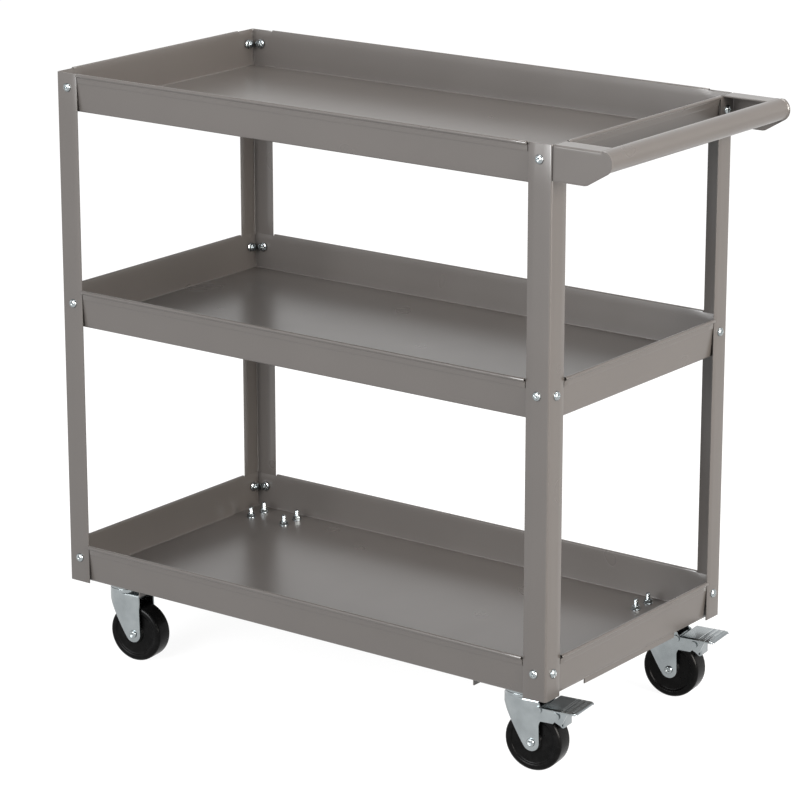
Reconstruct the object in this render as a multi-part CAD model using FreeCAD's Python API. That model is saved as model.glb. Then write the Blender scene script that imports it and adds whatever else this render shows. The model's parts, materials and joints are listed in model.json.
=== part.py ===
import FreeCAD, Part
import math
import os

# A three-shelf steel tool cart: pan trays bolted inside four angle posts, on four swivel casters.
# Millimetres. +Z is up, +X points to the handle, -Y is the front.
# Pieces are drawn about the middle of the trays, with the floor at z = 0. When they are saved they
# shift along X, so that the origin lies on the floor below the middle of the cart's overall box.

# --- frame: posts -------------------------------------------------------------------------------
frame_length = 794.0
frame_width = 411.0
post_height = 710.0
post_leg_x = 34.5
post_leg_y = 31.5
post_sheet = 1.5
post_bend_radius = 3.0

# --- trays --------------------------------------------------------------------------------------
tray_height = 52.5
tray_sheet = 1.0
tray_draft = 5.0
tray_bend_radius = 2.5
hem_bead_radius = 1.8
hem_depth = 13.0
hem_end_gap = 1.5
corner_slot = 0.8
corner_relief_diameter = 4.0
seat_gap = 0.1
rim_above_post = 1.0
middle_rim_drop = 295.0
bottom_floor_rise = 2.5

# --- screws and nuts (M6) -----------------------------------------------------------------------
screw_diameter = 6.0
screw_hole_gap = 0.3
head_diameter = 12.0
head_height = 3.6
head_round = 1.8
recess_span = 6.4
recess_slot = 1.3
recess_depth = 1.8
nut_across_flats = 10.0
nut_height = 6.0
nut_flange_diameter = 13.0
nut_flange_height = 1.2
nut_gap = 0.02
tray_screw_length = 13.0
screw_drop = 20.5
screw_inset_x = 18.3
screw_inset_y = 16.3

# --- handle -------------------------------------------------------------------------------------
handle_sheet = 2.0
handle_bend_radius = 3.0
handle_tube_diameter = 28.0
handle_tube_wall = 1.5
handle_reach = 70.0
handle_end_margin = 1.5
handle_plate_height = 44.5
handle_plate_foot = 49.0
handle_top_flange = 27.0
handle_top_drop = -0.5

# --- caster channels under the bottom tray ------------------------------------------------------
channel_sheet = 1.5
channel_end_inset = 7.5
channel_side_inset = 9.5
channel_inner_margin = 11.0
channel_lip = 8.0
channel_lip_margin = 28.5

# --- casters ------------------------------------------------------------------------------------
caster_inset_x = 64.0
caster_inset_y = 43.0
caster_rest_angle = 7.0
caster_trail = 22.0
wheel_diameter = 80.0
wheel_width = 30.0
wheel_edge_round = 5.0
wheel_hub_diameter = 26.0
wheel_rim_band = 8.0
wheel_dish = 2.5
wheel_step = 2.0
plate_sheet = 2.5
plate_end_margin = 12.0
plate_side_margin = 13.0
plate_corner_radius = 6.0
plate_hole_spacing_y = 30.0
head_to_cup_gap = 6.0
caster_screw_length = 20.0
cup_depth = 5.5
cup_wall = 3.0
cup_web = 3.5
race_radius = 16.5
ball_diameter = 5.0
ball_count = 16
ball_gap = 0.3
race_gap = 0.6
kingpin_diameter = 10.0
kingpin_head_diameter = 17.0
kingpin_head_height = 3.0
running_gap = 0.05
body_gap = 0.35
fork_sheet = 2.4
fork_crown_rim = 4.0
fork_crown_drop = 13.0
fork_side_gap = 1.7
fork_foot_radius = 11.5
fork_foot_angle = 30.0
fork_front_inset = 4.0
fork_top_back = 10.0
fork_shoulder_height = 21.5
fork_shoulder_run = 3.0
fork_shoulder_rise = 9.0
axle_diameter = 6.0
axle_head_diameter = 11.0
axle_head_height = 3.2
axle_head_round = 1.5
axle_tail = 2.0
bushing_diameter = 10.0

# --- wheel brake --------------------------------------------------------------------------------
pedal_pivot_forward = 37.0
pedal_pivot_above_wheel = 3.0
pedal_sheet = 2.0
pedal_plate_rise = 8.0
pedal_plate_back = 17.0
pedal_plate_front = 30.0
pedal_plate_side = 5.05
pedal_corner_radius = 4.0
pedal_to_crown_gap = 3.0
pedal_travel = 12.0
pedal_rib_count = 3
pedal_rib_height = 0.8
pedal_rib_width = 3.0
pedal_rib_pitch = 7.0
pedal_rib_inset = 8.0
pedal_rib_end_gap = 3.0
pedal_arm_back = 11.0
pedal_arm_front = 17.0
pedal_arm_drop = 11.0
pedal_arm_tip_back = 4.0
pedal_arm_tip_front = 8.0
pedal_arm_heel = 12.0
pedal_tongue_width = 20.0
brake_gap_pressed = 0.6
brake_shoe_back = 4.0
brake_shoe_height = 8.0
brake_shoe_drop = 20.0
brake_tongue_gap = 1.5
brake_pin_diameter = 6.0
brake_pin_head_diameter = 10.0
brake_pin_head_height = 2.0
stop_pin_forward = 10.0
stop_pin_above_wheel = 6.0
stop_pin_diameter = 5.0
ear_radius = 6.0
ear_blend = 4.0

# --- tools used for cutting run this far past what they cut ---------------------------------------
cut_over = 1.0

# --- worked out from the sizes above ------------------------------------------------------------
X_AXIS = FreeCAD.Vector(1, 0, 0)
Y_AXIS = FreeCAD.Vector(0, 1, 0)
Z_AXIS = FreeCAD.Vector(0, 0, 1)
ORIGIN = FreeCAD.Vector(0, 0, 0)

wheel_radius = wheel_diameter / 2
axle_height = wheel_radius
half_length = frame_length / 2
half_width = frame_width / 2
screw_hole_radius = screw_diameter / 2 + screw_hole_gap
fork_inner = wheel_width / 2 + fork_side_gap
fork_outer = fork_inner + fork_sheet
pedal_arm_inner = fork_outer + body_gap
pedal_arm_outer = pedal_arm_inner + pedal_sheet
pedal_pivot_z = wheel_diameter + pedal_pivot_above_wheel
pedal_plate_low = pedal_pivot_z + pedal_plate_rise
pedal_plate_high = pedal_plate_low + pedal_sheet
crown_bottom = pedal_plate_high + pedal_to_crown_gap
crown_top = crown_bottom + fork_sheet
cup_radius = race_radius + ball_diameter / 2 + cup_wall
cup_recess_radius = race_radius - ball_diameter / 2 - cup_wall
crown_radius = cup_radius + fork_crown_rim
head_reach = cup_radius + head_diameter / 2 + head_to_cup_gap
plate_hole_spacing_x = 2 * math.sqrt(head_reach ** 2 - (plate_hole_spacing_y / 2) ** 2)
plate_length = plate_hole_spacing_x + 2 * plate_end_margin
plate_width = plate_hole_spacing_y + 2 * plate_side_margin
plate_top = crown_top + fork_crown_drop
plate_bottom = plate_top - plate_sheet
cup_bottom = plate_bottom - cup_depth
race_top = cup_bottom - race_gap
bottom_tray_floor = plate_top + channel_sheet
post_bottom = bottom_tray_floor - bottom_floor_rise
post_top = post_bottom + post_height
top_rim = post_top + rim_above_post
tray_rims = {
    "bottom": bottom_tray_floor + tray_height,
    "middle": top_rim - middle_rim_drop,
    "top": top_rim,
}
handle_axis_x = half_length + handle_reach
handle_top = post_top - handle_top_drop
handle_axis_z = handle_top - handle_tube_diameter / 2
handle_end = handle_axis_x + handle_tube_diameter / 2 + handle_end_margin
box_centre_x = (handle_end - (half_length + head_height)) / 2

CORNERS = {
    "front_left": (-1, -1),
    "front_right": (1, -1),
    "rear_left": (-1, 1),
    "rear_right": (1, 1),
}
BRAKED = ("front_right", "rear_right")


def vec(x, y, z):
    return FreeCAD.Vector(x, y, z)


def save(node, shape):
    """Write one node as a STEP file, in the cart's final frame."""
    moved = shape.copy()
    moved.translate(vec(-box_centre_x, 0, 0))
    moved.exportStep("parts/" + node + ".step")
    print(node, round(moved.Volume), "mm3, solids", len(moved.Solids), "valid", moved.isValid())


def box(x0, x1, y0, y1, z0, z1):
    return Part.makeBox(x1 - x0, y1 - y0, z1 - z0, vec(x0, y0, z0))


def rod(radius, start, direction, length):
    return Part.makeCylinder(radius, length, start, direction)


def prism(points, direction):
    """Extrude a closed polygon, given as vectors in one plane."""
    face = Part.Face(Part.makePolygon(points + [points[0]]))
    return face.extrude(direction)


def side_prism(outline, y0, y1):
    """Extrude an outline of (x, z) points along Y."""
    return prism([vec(x, y0, z) for x, z in outline], vec(0, y1 - y0, 0))


def turned(profile, centre):
    """Revolve (radius, axial) points about the Y axis through centre."""
    points = [vec(r, a, 0) for r, a in profile]
    face = Part.Face(Part.makePolygon(points + [points[0]]))
    solid = face.revolve(ORIGIN, Y_AXIS, 360)
    solid.translate(centre)
    return solid


def group(solids):
    return Part.makeCompound(solids)


def aimed(shape, position, direction):
    """Turn a shape drawn along +Z to point along direction, then move it to position."""
    copy = shape.copy()
    copy.Placement = FreeCAD.Placement(position, FreeCAD.Rotation(Z_AXIS, direction))
    return copy


def mirrored(shape, sign_x, sign_y):
    """Mirror a piece drawn at the front left corner to the corner with these signs."""
    if sign_x > 0:
        shape = shape.mirror(ORIGIN, X_AXIS)
    if sign_y > 0:
        shape = shape.mirror(ORIGIN, Y_AXIS)
    return shape


# --- screws and nuts ----------------------------------------------------------------------------
def cross_recess(top):
    """Two crossed slots sunk into the top of a screw head."""
    half = recess_span / 2
    slot = recess_slot / 2
    first = box(-half, half, -slot, slot, top - recess_depth, top + cut_over)
    second = box(-slot, slot, -half, half, top - recess_depth, top + cut_over)
    return first.fuse(second)


def pan_screw(length):
    """Screw with its head seated on z = 0 and its shank along -Z."""
    head = Part.makeCylinder(head_diameter / 2, head_height)
    rim = [edge for edge in head.Edges if edge.BoundBox.ZMin > head_height - 0.01]
    head = head.makeFillet(head_round, rim)
    shank = rod(screw_diameter / 2, ORIGIN, -Z_AXIS, length)
    return head.cut(cross_recess(head_height)).fuse(shank).removeSplitter()


def hex_prism(across_flats, height):
    corner = across_flats / math.sqrt(3)
    points = []
    for step in range(6):
        angle = math.radians(60 * step)
        points.append(vec(corner * math.cos(angle), corner * math.sin(angle), 0))
    return prism(points, vec(0, 0, height))


def flange_nut(thread_diameter):
    """Nut seated on z = 0 and standing along +Z, with a bore that clears its thread."""
    flange = Part.makeCylinder(nut_flange_diameter / 2, nut_flange_height)
    nut = hex_prism(nut_across_flats, nut_height).fuse(flange)
    bore = Part.makeCylinder(thread_diameter / 2 + nut_gap, nut_height)
    return nut.cut(bore)


# --- posts --------------------------------------------------------------------------------------
def post_profile():
    """Angle section with its outer corner at the front left corner of the frame."""
    x0 = -half_length
    y0 = -half_width
    outer = post_bend_radius
    inner = post_bend_radius - post_sheet
    bend = vec(x0 + outer, y0 + outer, post_bottom)
    diagonal = math.sqrt(0.5)

    def at(x, y):
        return vec(x0 + x, y0 + y, post_bottom)

    def on_bend(radius):
        return bend + vec(-radius * diagonal, -radius * diagonal, 0)

    edges = [
        Part.LineSegment(at(post_leg_x, 0), at(outer, 0)).toShape(),
        Part.Arc(at(outer, 0), on_bend(outer), at(0, outer)).toShape(),
        Part.LineSegment(at(0, outer), at(0, post_leg_y)).toShape(),
        Part.LineSegment(at(0, post_leg_y), at(post_sheet, post_leg_y)).toShape(),
        Part.LineSegment(at(post_sheet, post_leg_y), at(post_sheet, outer)).toShape(),
        Part.Arc(at(post_sheet, outer), on_bend(inner), at(outer, post_sheet)).toShape(),
        Part.LineSegment(at(outer, post_sheet), at(post_leg_x, post_sheet)).toShape(),
        Part.LineSegment(at(post_leg_x, post_sheet), at(post_leg_x, 0)).toShape(),
    ]
    return Part.Face(Part.Wire(edges))


def screw_seats():
    """Seat and outward direction of each tray screw at the front left corner, by tray."""
    seats = {}
    for tray, rim in tray_rims.items():
        height = rim - screw_drop
        front = (vec(-half_length + screw_inset_x, -half_width, height), -Y_AXIS)
        end = (vec(-half_length, -half_width + screw_inset_y, height), -X_AXIS)
        seats[tray] = (front, end)
    return seats


def screw_holes():
    """Cylinders that clear every tray screw at the front left corner."""
    reach = post_sheet + seat_gap + tray_draft + tray_sheet + cut_over
    holes = []
    for seats in screw_seats().values():
        for seat, outward in seats:
            start = seat + outward * cut_over
            holes.append(rod(screw_hole_radius, start, -outward, reach + cut_over))
    return holes


def front_left_post():
    post = post_profile().extrude(vec(0, 0, post_height))
    return post.cut(screw_holes())


# --- trays --------------------------------------------------------------------------------------
def frustum(low, high, z_low, z_high, bend):
    """Four-sided solid from a small low rectangle to a larger high one, its low edges rounded."""
    wires = []
    for (half_x, half_y), z in ((low, z_low), (high, z_high)):
        corners = [vec(-half_x, -half_y, z), vec(half_x, -half_y, z), vec(half_x, half_y, z),
                   vec(-half_x, half_y, z), vec(-half_x, -half_y, z)]
        wires.append(Part.makePolygon(corners))
    solid = Part.makeLoft(wires, True, True)
    low_edges = [edge for edge in solid.Edges if edge.BoundBox.ZMax < z_low + 0.01]
    return solid.makeFillet(bend, low_edges)


def wall_face(z, rim):
    """Half sizes of the outside of the tray's walls at height z."""
    inward = seat_gap + tray_draft * (rim - z) / tray_height
    return (half_length - post_sheet - inward, half_width - post_sheet - inward)


def hem(rim, half_span, wall_half):
    """Outward rolled hem of the -Y wall: a hollow bead and a return lying on the wall."""
    bead_z = rim - hem_bead_radius
    bead_y = -wall_half + tray_sheet - hem_bead_radius
    bead = rod(hem_bead_radius, vec(-half_span, bead_y, bead_z), X_AXIS, 2 * half_span)
    hollow_radius = hem_bead_radius - tray_sheet
    hollow = rod(hollow_radius, vec(-half_span, bead_y, bead_z), X_AXIS, 2 * half_span)
    slope = tray_draft / tray_height
    low = hem_depth
    high = hem_bead_radius
    outline = []
    for depth, out in ((low, tray_sheet), (high, tray_sheet), (high, 0), (low, 0)):
        outline.append(vec(-half_span, -wall_half + slope * depth - out, rim - depth))
    returned = prism(outline, vec(2 * half_span, 0, 0))
    return bead.cut(hollow).fuse(returned)


def tray(rim):
    """Pan with four sloping walls, open slots at its corners and a rolled hem on each side."""
    floor = rim - tray_height
    wall_top = rim - hem_bead_radius
    outside = frustum(wall_face(floor, rim), wall_face(wall_top, rim), floor, wall_top,
                      tray_bend_radius)
    low = [half - tray_sheet for half in wall_face(floor + tray_sheet, rim)]
    high = [half - tray_sheet for half in wall_face(wall_top, rim)]
    inside = frustum(low, high, floor + tray_sheet, wall_top, tray_bend_radius - tray_sheet)
    pan = outside.cut(inside)

    top_x, top_y = wall_face(rim, rim)
    span_x = half_length - post_leg_x - hem_end_gap
    span_y = half_width - post_leg_y - hem_end_gap
    front_hem = hem(rim, span_x, top_y)
    left_hem = hem(rim, span_y, top_x)
    left_hem.rotate(ORIGIN, Z_AXIS, -90)
    hems = []
    for piece, axis in ((front_hem, Y_AXIS), (left_hem, X_AXIS)):
        hems.append(piece)
        hems.append(piece.mirror(ORIGIN, axis))
    pan = pan.fuse(hems).removeSplitter()

    cuts = []
    floor_x, floor_y = wall_face(floor, rim)
    slot_reach = 2 * (tray_draft + tray_bend_radius + tray_sheet)
    for sign_x, sign_y in CORNERS.values():
        corner = vec(sign_x * floor_x, sign_y * floor_y, floor)
        slot = box(-slot_reach, slot_reach, -corner_slot / 2, corner_slot / 2, 0, tray_height)
        slot.rotate(ORIGIN, Z_AXIS, math.degrees(math.atan2(sign_y, sign_x)))
        slot.translate(corner + vec(0, 0, tray_bend_radius))
        cuts.append(slot)
        relief = rod(corner_relief_diameter / 2, corner - vec(0, 0, cut_over), Z_AXIS,
                     tray_bend_radius + 2 * cut_over)
        cuts.append(relief)
        for hole in screw_holes():
            cuts.append(mirrored(hole, sign_x, sign_y))
    return pan.cut(cuts)


# --- handle -------------------------------------------------------------------------------------
def handle_tube():
    half_tube = half_width - handle_sheet
    start = vec(handle_axis_x, -half_tube, handle_axis_z)
    outer = rod(handle_tube_diameter / 2, start, Y_AXIS, 2 * half_tube)
    inner = rod(handle_tube_diameter / 2 - handle_tube_wall, start, Y_AXIS, 2 * half_tube)
    return outer.cut(inner)


def handle_outline():
    """Side plate's outline: flat top, round end about the tube, sloping chin, flat foot."""
    end_radius = handle_end - handle_axis_x
    x0 = half_length
    foot_z = handle_top - handle_plate_height
    foot_x = half_length + handle_plate_foot
    across = handle_axis_x - foot_x
    rise = handle_axis_z - foot_z
    tangent = math.atan2(rise, across) - math.asin(end_radius / math.hypot(across, rise))
    low_angle = tangent - math.pi / 2
    high_angle = math.asin((handle_top - handle_axis_z) / end_radius)
    mid_angle = (low_angle + high_angle) / 2

    def on_end(angle):
        return vec(handle_axis_x + end_radius * math.cos(angle), 0,
                   handle_axis_z + end_radius * math.sin(angle))

    top_left = vec(x0, 0, handle_top)
    foot_left = vec(x0, 0, foot_z)
    foot_right = vec(foot_x, 0, foot_z)
    edges = [
        Part.LineSegment(top_left, foot_left).toShape(),
        Part.LineSegment(foot_left, foot_right).toShape(),
        Part.LineSegment(foot_right, on_end(low_angle)).toShape(),
        Part.Arc(on_end(low_angle), on_end(mid_angle), on_end(high_angle)).toShape(),
        Part.LineSegment(on_end(high_angle), top_left).toShape(),
    ]
    return Part.Face(Part.Wire(edges))


def bent_block(radius):
    """The bracket's outline pulled back to the tray, its left and top edges bent to a radius."""
    block = handle_outline().extrude(vec(0, post_leg_y + cut_over, 0))
    bends = []
    for edge in block.Edges:
        place = edge.BoundBox
        on_left = place.XMax < half_length + 0.01
        on_top = place.ZMin > handle_top - 0.01
        if place.YMax < 0.01 and (on_left or on_top):
            bends.append(edge)
    return block.makeFillet(radius, bends)


def front_handle_bracket():
    """Pressed bracket: side plate, mounting flange on the post and a top flange to the tube."""
    hollow = bent_block(handle_bend_radius - handle_sheet)
    hollow.translate(vec(handle_sheet, handle_sheet, -handle_sheet))
    bend = handle_bend_radius
    keep_end = box(half_length, half_length + bend, 0, post_leg_y, 0, handle_top)
    keep_top = box(half_length, handle_axis_x, 0, handle_top_flange, handle_top - bend, handle_top)
    keep_side = box(half_length, handle_end, 0, handle_sheet, 0, handle_top)
    keep = keep_end.fuse([keep_top, keep_side])
    skin = bent_block(bend).cut(hollow).common(keep)
    skin.translate(vec(0, -half_width, 0))
    tube_start = vec(handle_axis_x, -half_width + handle_sheet, handle_axis_z)
    tube_space = rod(handle_tube_diameter / 2, tube_start, Y_AXIS, frame_width)
    seat = vec(half_length + head_height, -half_width + screw_inset_y, top_rim - screw_drop)
    screw_space = rod(screw_hole_radius, seat, -X_AXIS, head_height + cut_over)
    return skin.cut([tube_space, screw_space]).removeSplitter()


# --- caster channels ----------------------------------------------------------------------------
def caster_centre(corner):
    sign_x, sign_y = CORNERS[corner]
    return vec(sign_x * (half_length - caster_inset_x), sign_y * (half_width - caster_inset_y), 0)


def caster_hole_places(corner):
    """Centres of one caster plate's four screw holes."""
    centre = caster_centre(corner)
    places = []
    for side_x in (-1, 1):
        for side_y in (-1, 1):
            offset = vec(side_x * plate_hole_spacing_x / 2, side_y * plate_hole_spacing_y / 2, 0)
            places.append(centre + offset)
    return places


def caster_screw_cuts(corners, z0, z1):
    cuts = []
    for corner in corners:
        for place in caster_hole_places(corner):
            cuts.append(rod(screw_hole_radius, place + vec(0, 0, z0), Z_AXIS, z1 - z0))
    return cuts


def right_channel():
    """Wide shallow channel that spreads the casters' load under the tray at the handle end."""
    outer_x = half_length - channel_end_inset
    inner_x = half_length - caster_inset_x - plate_length / 2 - channel_inner_margin
    half_span = half_width - channel_side_inset
    top = plate_top + channel_sheet
    web = box(inner_x, outer_x, -half_span, half_span, plate_top, top)
    inner_lip = box(inner_x, inner_x + channel_sheet, -half_span, half_span, top - channel_lip, top)
    half_lip = half_width - caster_inset_y - plate_width / 2 - channel_lip_margin
    outer_lip = box(outer_x - channel_sheet, outer_x, -half_lip, half_lip, top - channel_lip, top)
    channel = web.fuse([inner_lip, outer_lip]).removeSplitter()
    low = plate_top - cut_over
    return channel.cut(caster_screw_cuts(("front_right", "rear_right"), low, top + cut_over))


# --- casters, drawn with the swivel axis on the Z axis and the wheel trailing towards +X ----------
axle_point = vec(caster_trail, 0, axle_height)
pedal_pivot = vec(caster_trail + pedal_pivot_forward, 0, pedal_pivot_z)
stop_pin_point = vec(caster_trail + stop_pin_forward, 0, wheel_diameter + stop_pin_above_wheel)
ball_height = (cup_bottom + race_top) / 2


def race_groove(radius):
    return Part.makeTorus(race_radius, radius, vec(0, 0, ball_height))


def caster_plate():
    """Mounting plate with the upper ball cup pressed down from it."""
    plate = box(-plate_length / 2, plate_length / 2, -plate_width / 2, plate_width / 2,
                plate_bottom, plate_top)
    corners = [edge for edge in plate.Edges if edge.BoundBox.ZLength > plate_sheet - 0.01]
    plate = plate.makeFillet(plate_corner_radius, corners)
    cup = rod(cup_radius, vec(0, 0, cup_bottom), Z_AXIS, cup_depth + plate_sheet / 2)
    depth = plate_top - cup_bottom + 2 * cut_over
    recess = rod(cup_recess_radius, vec(0, 0, cup_bottom + cup_web), Z_AXIS, depth)
    bore = rod(kingpin_diameter / 2, vec(0, 0, cup_bottom - cut_over), Z_AXIS, depth)
    cuts = [recess, bore, race_groove(ball_diameter / 2 + ball_gap)]
    for side_x in (-1, 1):
        for side_y in (-1, 1):
            place = vec(side_x * plate_hole_spacing_x / 2, side_y * plate_hole_spacing_y / 2,
                        plate_bottom - cut_over)
            cuts.append(rod(screw_hole_radius, place, Z_AXIS, plate_sheet + 2 * cut_over))
    return plate.fuse(cup).cut(cuts).removeSplitter()


def kingpin():
    """Riveted pin: one head in the cup's recess, the other below the fork's crown."""
    seat = cup_bottom + cup_web
    top_head = rod(kingpin_head_diameter / 2, vec(0, 0, seat), Z_AXIS, kingpin_head_height)
    low = crown_bottom - body_gap - kingpin_head_height
    shank = rod(kingpin_diameter / 2, vec(0, 0, low), Z_AXIS, seat - low)
    low_head = rod(kingpin_head_diameter / 2, vec(0, 0, low), Z_AXIS, kingpin_head_height)
    return shank.fuse([top_head, low_head]).removeSplitter()


def swivel_balls():
    balls = []
    for step in range(ball_count):
        angle = 2 * math.pi * step / ball_count
        centre = vec(race_radius * math.cos(angle), race_radius * math.sin(angle), ball_height)
        balls.append(Part.makeSphere(ball_diameter / 2, centre))
    return group(balls)


def fork_leg_outline(braked):
    """Side view of one fork leg as (x, z) points, with its foot round the axle left square."""
    front = -crown_radius + fork_front_inset
    back = caster_trail + fork_top_back
    shoulder = crown_top - fork_shoulder_height
    angle = math.radians(fork_foot_angle)
    foot_front = (caster_trail - fork_foot_radius * math.cos(angle),
                  axle_height - fork_foot_radius * math.sin(angle))
    outline = [(front, crown_top), (front, shoulder + fork_shoulder_rise),
               (front + fork_shoulder_run, shoulder), foot_front, (caster_trail, axle_height),
               (caster_trail + fork_foot_radius, axle_height)]
    if braked:
        ear_low = pedal_pivot.z - 2 * ear_radius
        ear_high = pedal_pivot.z + ear_radius
        outline += [(back, ear_low - ear_blend), (back + ear_blend, ear_low),
                    (pedal_pivot.x - ear_radius, ear_low), (pedal_pivot.x, pedal_pivot.z),
                    (pedal_pivot.x, ear_high), (back + ear_blend, ear_high)]
    outline.append((back, crown_top))
    return outline


def fork(braked):
    """Pressed fork: round crown with the lower ball race, and two flat legs to the axle."""
    crown = rod(crown_radius, vec(0, 0, crown_bottom), Z_AXIS, fork_sheet)
    race = rod(cup_radius, vec(0, 0, crown_bottom), Z_AXIS, race_top - crown_bottom)
    tail = box(0, caster_trail + fork_top_back, -fork_outer, fork_outer, crown_bottom, crown_top)
    bodies = [race, tail]
    for side in (-1, 1):
        y0 = min(side * fork_inner, side * fork_outer)
        y1 = max(side * fork_inner, side * fork_outer)
        bodies.append(side_prism(fork_leg_outline(braked), y0, y1))
        foot_start = vec(axle_point.x, y0, axle_point.z)
        bodies.append(rod(fork_foot_radius, foot_start, Y_AXIS, fork_sheet))
        if braked:
            ear_start = vec(pedal_pivot.x, y0, pedal_pivot.z)
            bodies.append(rod(ear_radius, ear_start, Y_AXIS, fork_sheet))
    body = crown.fuse(bodies)
    pin_bore = rod(kingpin_diameter / 2 + running_gap, vec(0, 0, crown_bottom - cut_over), Z_AXIS,
                   race_top - crown_bottom + 2 * cut_over)
    cuts = [pin_bore, race_groove(ball_diameter / 2 + running_gap)]
    crossings = [(axle_point, axle_diameter)]
    if braked:
        crossings.append((pedal_pivot, brake_pin_diameter))
        crossings.append((stop_pin_point, stop_pin_diameter))
    for point, diameter in crossings:
        start = point - vec(0, fork_outer + cut_over, 0)
        cuts.append(rod(diameter / 2, start, Y_AXIS, 2 * (fork_outer + cut_over)))
    return body.cut(cuts).removeSplitter()


def axle_bolt():
    """Pan-headed bolt across the fork, its head on the -Y leg."""
    seat = axle_point - vec(0, fork_outer, 0)
    head = Part.makeCylinder(axle_head_diameter / 2, axle_head_height)
    rim = [edge for edge in head.Edges if edge.BoundBox.ZMin > axle_head_height - 0.01]
    head = head.makeFillet(axle_head_round, rim)
    length = 2 * fork_outer + nut_height + axle_tail
    shank = rod(axle_diameter / 2, ORIGIN, -Z_AXIS, length)
    return aimed(head.fuse(shank).removeSplitter(), seat, -Y_AXIS)


def axle_nut():
    return aimed(flange_nut(axle_diameter), axle_point + vec(0, fork_outer, 0), Y_AXIS)


def wheel_bushing():
    start = axle_point - vec(0, fork_inner, 0)
    sleeve = rod(bushing_diameter / 2, start, Y_AXIS, 2 * fork_inner)
    bore = rod(axle_diameter / 2 + nut_gap, start, Y_AXIS, 2 * fork_inner)
    return sleeve.cut(bore)


def wheel():
    """Solid plastic wheel, dished between its hub and its rim band."""
    half = wheel_width / 2
    hub_half = fork_inner - body_gap
    hub = wheel_hub_diameter / 2
    rim = wheel_radius - wheel_rim_band
    bore = bushing_diameter / 2 + running_gap
    floor = half - wheel_dish
    profile = [(bore, -hub_half), (hub - wheel_step, -hub_half), (hub, -floor),
               (rim - wheel_step, -floor),
               (rim, -half), (wheel_radius, -half), (wheel_radius, half), (rim, half),
               (rim - wheel_step, floor), (hub, floor), (hub - wheel_step, hub_half),
               (bore, hub_half)]
    body = turned(profile, ORIGIN)
    edges = []
    for edge in body.Edges:
        wide = edge.BoundBox.XMax > wheel_radius - 0.01
        flat = edge.BoundBox.YLength < 0.01
        if wide and flat:
            edges.append(edge)
    body = body.makeFillet(wheel_edge_round, edges)
    body.translate(axle_point)
    return body


# --- wheel brake --------------------------------------------------------------------------------
def brake_pedal():
    """Pedal plate with ribs, two side arms on the pin and a tongue that ends in the brake shoe."""
    back = pedal_pivot.x - pedal_plate_back
    front = pedal_pivot.x + pedal_plate_front
    half_plate = pedal_arm_inner + pedal_sheet + pedal_plate_side
    plate = box(back, front, -half_plate, half_plate, pedal_plate_low, pedal_plate_high)
    corners = []
    for edge in plate.Edges:
        upright = edge.BoundBox.ZLength > pedal_sheet - 0.01
        if upright and edge.BoundBox.XMin > front - 0.01:
            corners.append(edge)
    plate = plate.makeFillet(pedal_corner_radius, corners)
    bodies = []
    rib_half = half_plate - pedal_rib_end_gap
    for step in range(pedal_rib_count):
        rib_x = front - pedal_rib_inset - step * pedal_rib_pitch
        bodies.append(box(rib_x, rib_x + pedal_rib_width, -rib_half, rib_half,
                          pedal_plate_high, pedal_plate_high + pedal_rib_height))
    outline = [(pedal_pivot.x - pedal_arm_back, pedal_plate_low),
               (pedal_pivot.x - ear_radius, pedal_pivot.z - ear_radius),
               (pedal_pivot.x + pedal_arm_tip_back, pedal_pivot.z - pedal_arm_drop),
               (pedal_pivot.x + pedal_arm_tip_front, pedal_pivot.z - pedal_arm_drop),
               (pedal_pivot.x + pedal_arm_heel, pedal_pivot.z),
               (pedal_pivot.x + pedal_arm_front, pedal_plate_low)]
    bodies.append(side_prism(outline, pedal_arm_inner, pedal_arm_outer))
    bodies.append(side_prism(outline, -pedal_arm_outer, -pedal_arm_inner))
    half_tongue = pedal_tongue_width / 2
    tongue_x = pedal_pivot.x + brake_pin_diameter / 2 + brake_tongue_gap
    shoe_low = pedal_pivot.z - brake_shoe_drop
    bodies.append(box(tongue_x, tongue_x + pedal_sheet, -half_tongue, half_tongue,
                      shoe_low, pedal_plate_low))
    bodies.append(box(pedal_pivot.x - brake_shoe_back, tongue_x + pedal_sheet,
                      -half_tongue, half_tongue, shoe_low, shoe_low + brake_shoe_height))
    pedal = plate.fuse(bodies)
    tread_start = axle_point - vec(0, half_plate, 0)
    tread = rod(wheel_radius + brake_gap_pressed, tread_start, Y_AXIS, 2 * half_plate)
    tread_when_pressed = tread.copy()
    tread_when_pressed.rotate(pedal_pivot, Y_AXIS, -pedal_travel)
    pin_start = pedal_pivot - vec(0, half_plate, 0)
    pin_space = rod(brake_pin_diameter / 2 + running_gap, pin_start, Y_AXIS, 2 * half_plate)
    return pedal.cut([tread, tread_when_pressed, pin_space]).removeSplitter()


def cross_pin(point, diameter, seat_half):
    """Round pin across the fork with a flat head at each end."""
    shank = rod(diameter / 2, point - vec(0, seat_half, 0), Y_AXIS, 2 * seat_half)
    first = rod(brake_pin_head_diameter / 2, point + vec(0, seat_half, 0), Y_AXIS,
                brake_pin_head_height)
    second = rod(brake_pin_head_diameter / 2, point - vec(0, seat_half, 0), -Y_AXIS,
                 brake_pin_head_height)
    return shank.fuse([first, second]).removeSplitter()


def brake_pivot_pin():
    return cross_pin(pedal_pivot, brake_pin_diameter, pedal_arm_outer + body_gap)


def brake_stop_pin():
    return cross_pin(stop_pin_point, stop_pin_diameter, fork_outer)


def at_corner(shape, corner, turn):
    """Copy a caster piece to its corner, turned to the caster's rest angle if it swivels."""
    copy = shape.copy()
    if turn:
        copy.rotate(ORIGIN, Z_AXIS, caster_rest_angle)
    copy.translate(caster_centre(corner))
    return copy


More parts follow.
